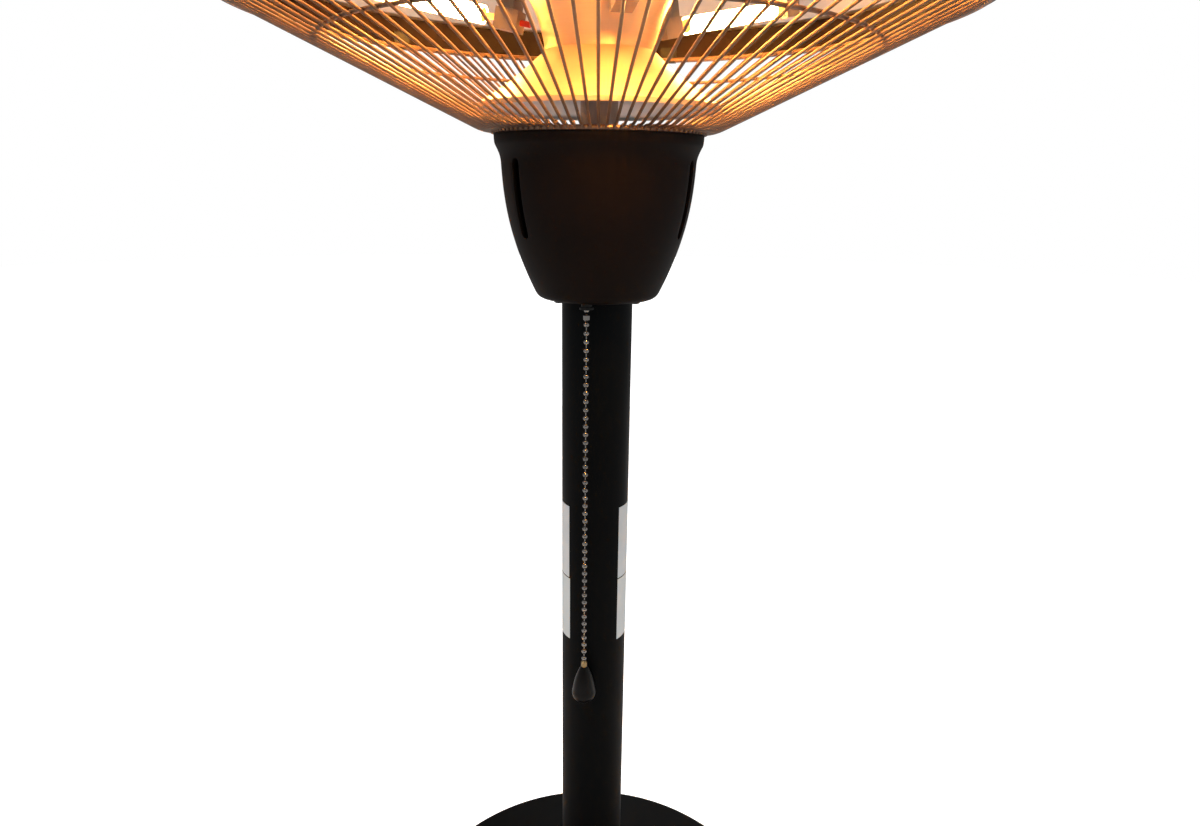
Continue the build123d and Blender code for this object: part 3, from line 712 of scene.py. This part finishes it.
def make_bell():
    """The moulded housing: one smooth skin with a wall, three vents and softened edges."""
    bell = turned(bell_profile, bell_turns)
    select(bell)
    wall = bell.modifiers.new("wall", "SOLIDIFY")
    wall.thickness = bell_wall
    wall.offset = -1
    wall.use_even_offset = True
    bpy.ops.object.modifier_apply(modifier="wall")
    for turn in vent_turns:
        cut(bell, slot_cutter(turn))
    select(bell)
    soft = bell.modifiers.new("soft", "BEVEL")
    soft.width = bell_edge
    soft.segments = 2
    soft.limit_method = "ANGLE"
    soft.angle_limit = radians(50)
    bpy.ops.object.modifier_apply(modifier="soft")
    settle(bell, "bell_skin")
    stand_in(bell, "bell_housing", "root", "black_moulding")


make_bell()
make_head_sheets()
make_base_skin()
make_floor_screws()
make_knob()


def make_beads(name, node_name, body):
    """Round beads on short links, in the place of a faceted run of chain."""
    low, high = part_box(node_name)
    x = (low[0] + high[0]) / 2
    y = (low[1] + high[1]) / 2
    top = high[2] - bead_half
    count = int(round((high[2] - low[2] - 2 * bead_half) / bead_pitch)) + 1
    parts = []
    for i in range(count):
        deselect()
        bpy.ops.mesh.primitive_uv_sphere_add(segments=14, ring_count=9, radius=bead_r,
                                             location=(x, y, top - i * bead_pitch))
        parts.append(bpy.context.view_layer.objects.active)
    deselect()
    length = (count - 1) * bead_pitch
    bpy.ops.mesh.primitive_cylinder_add(vertices=8, radius=chain_link_r, depth=length,
                                        location=(x, y, top - length / 2))
    parts.append(bpy.context.view_layer.objects.active)
    chain = settle(join(parts), name)
    stand_in(chain, node_name, body, "nickel")


make_beads("chain_beads", "pull_chain", "chain")
make_beads("inner_chain_beads", "pull_link", "puller")


def make_label(name, low, high, left, right, finish):
    """A bare label on the pole between two heights; its side edges are in degrees from the front."""
    deselect()
    bpy.ops.mesh.primitive_cylinder_add(vertices=label_steps, radius=pole_r + label_t, depth=high - low,
                                        end_fill_type="NOTHING", location=(0, 0, (low + high) / 2))
    label = bpy.context.view_layer.objects.active

    def uncovered(face):
        return left < degrees(atan2(face.center.x, -face.center.y)) < right

    edit(label, uncovered)
    bpy.ops.mesh.delete(type="FACE")
    deselect()
    select(label)
    skin = label.modifiers.new("paper", "SOLIDIFY")
    skin.thickness = label_t * 0.9
    skin.offset = -1
    bpy.ops.object.modifier_apply(modifier="paper")
    settle(label, name)
    paint(label, finishes[finish])
    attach(label, "root")


make_label("label_lower", 290 * mm, 333.4 * mm, -47.0, 46.0, "label_white")
make_label("label_upper", 334.2 * mm, 383 * mm, -49.0, 46.0, "label_grey")
make_label("label_rear", 384 * mm, 444 * mm, -79.0, 79.0, "label_silver")


# Camera, floor and light
lens = bpy.data.cameras.new("camera")
lens.lens = camera_lens
lens.sensor_width = camera_sensor
lens.clip_start = 0.01
camera = bpy.data.objects.new("camera", lens)
bpy.context.scene.collection.objects.link(camera)
turn = Matrix.Rotation(pi / 2 - camera_pitch, 4, "X") @ Matrix.Rotation(camera_roll, 4, "Z")
camera.matrix_world = Matrix.Translation(camera_place) @ turn
bpy.context.scene.camera = camera

deselect()
bpy.ops.mesh.primitive_circle_add(vertices=96, radius=floor_r, fill_type="NGON",
                                  location=(0, 0, -floor_drop))
floor = settle(bpy.context.view_layer.objects.active, "floor", smooth=False, recalculate=False)
floor_material, floor_tree, floor_shader = surface("pale_floor")
floor_shader.inputs["Base Color"].default_value = (0.8, 0.8, 0.8, 1.0)
floor_shader.inputs["Roughness"].default_value = 0.9
floor_shader.inputs["Specular IOR Level"].default_value = 0.1
floor_shader.inputs["Emission Color"].default_value = (1.0, 1.0, 1.0, 1.0)
seen = floor_tree.nodes.new("ShaderNodeLightPath")
link(floor_tree, seen, "Is Camera Ray", floor_shader, "Emission Strength")
paint(floor, floor_material)

world = bpy.data.worlds.new("studio")
bpy.context.scene.world = world
world.use_nodes = True
sky = world.node_tree
backdrop = sky.nodes["Background"]
backdrop.inputs["Color"].default_value = (1.0, 1.0, 1.0, 1.0)
path = sky.nodes.new("ShaderNodeLightPath")
either = node(sky, "ShaderNodeMath", operation="MAXIMUM")
whole = spread(sky, world_share, 1.0, 0.0, 1.0)
level = node(sky, "ShaderNodeMath", operation="MULTIPLY")
shade = spread(sky, 1.0, glossy_share, 0.0, 1.0)
link(sky, path, "Is Camera Ray", either, 0)
link(sky, path, "Is Transmission Ray", either, 1)
link(sky, either, "Value", whole, "Value")
link(sky, path, "Is Glossy Ray", shade, "Value")
link(sky, whole, "Result", level, 0)
link(sky, shade, "Result", level, 1)
link(sky, level, "Value", backdrop, "Strength")


def soft_light(name, place, size, power, target=(0, 0, 0.45)):
    """A square studio light that faces the object."""
    light = bpy.data.lights.new(name, "AREA")
    light.size = size
    light.energy = power
    lamp = bpy.data.objects.new(name, light)
    bpy.context.scene.collection.objects.link(lamp)
    lamp.location = place
    lamp.rotation_euler = (Vector(place) - Vector(target)).to_track_quat("Z", "Y").to_euler()


soft_light("key_light", (-1.4, -1.2, 1.6), 1.0, 7.0)
soft_light("fill_light", (1.6, -0.8, 1.1), 1.2, 4.0)
soft_light("back_light", (0.2, 1.6, 1.4), 1.0, 6.0)

bpy.context.scene.view_settings.view_transform = "Standard"
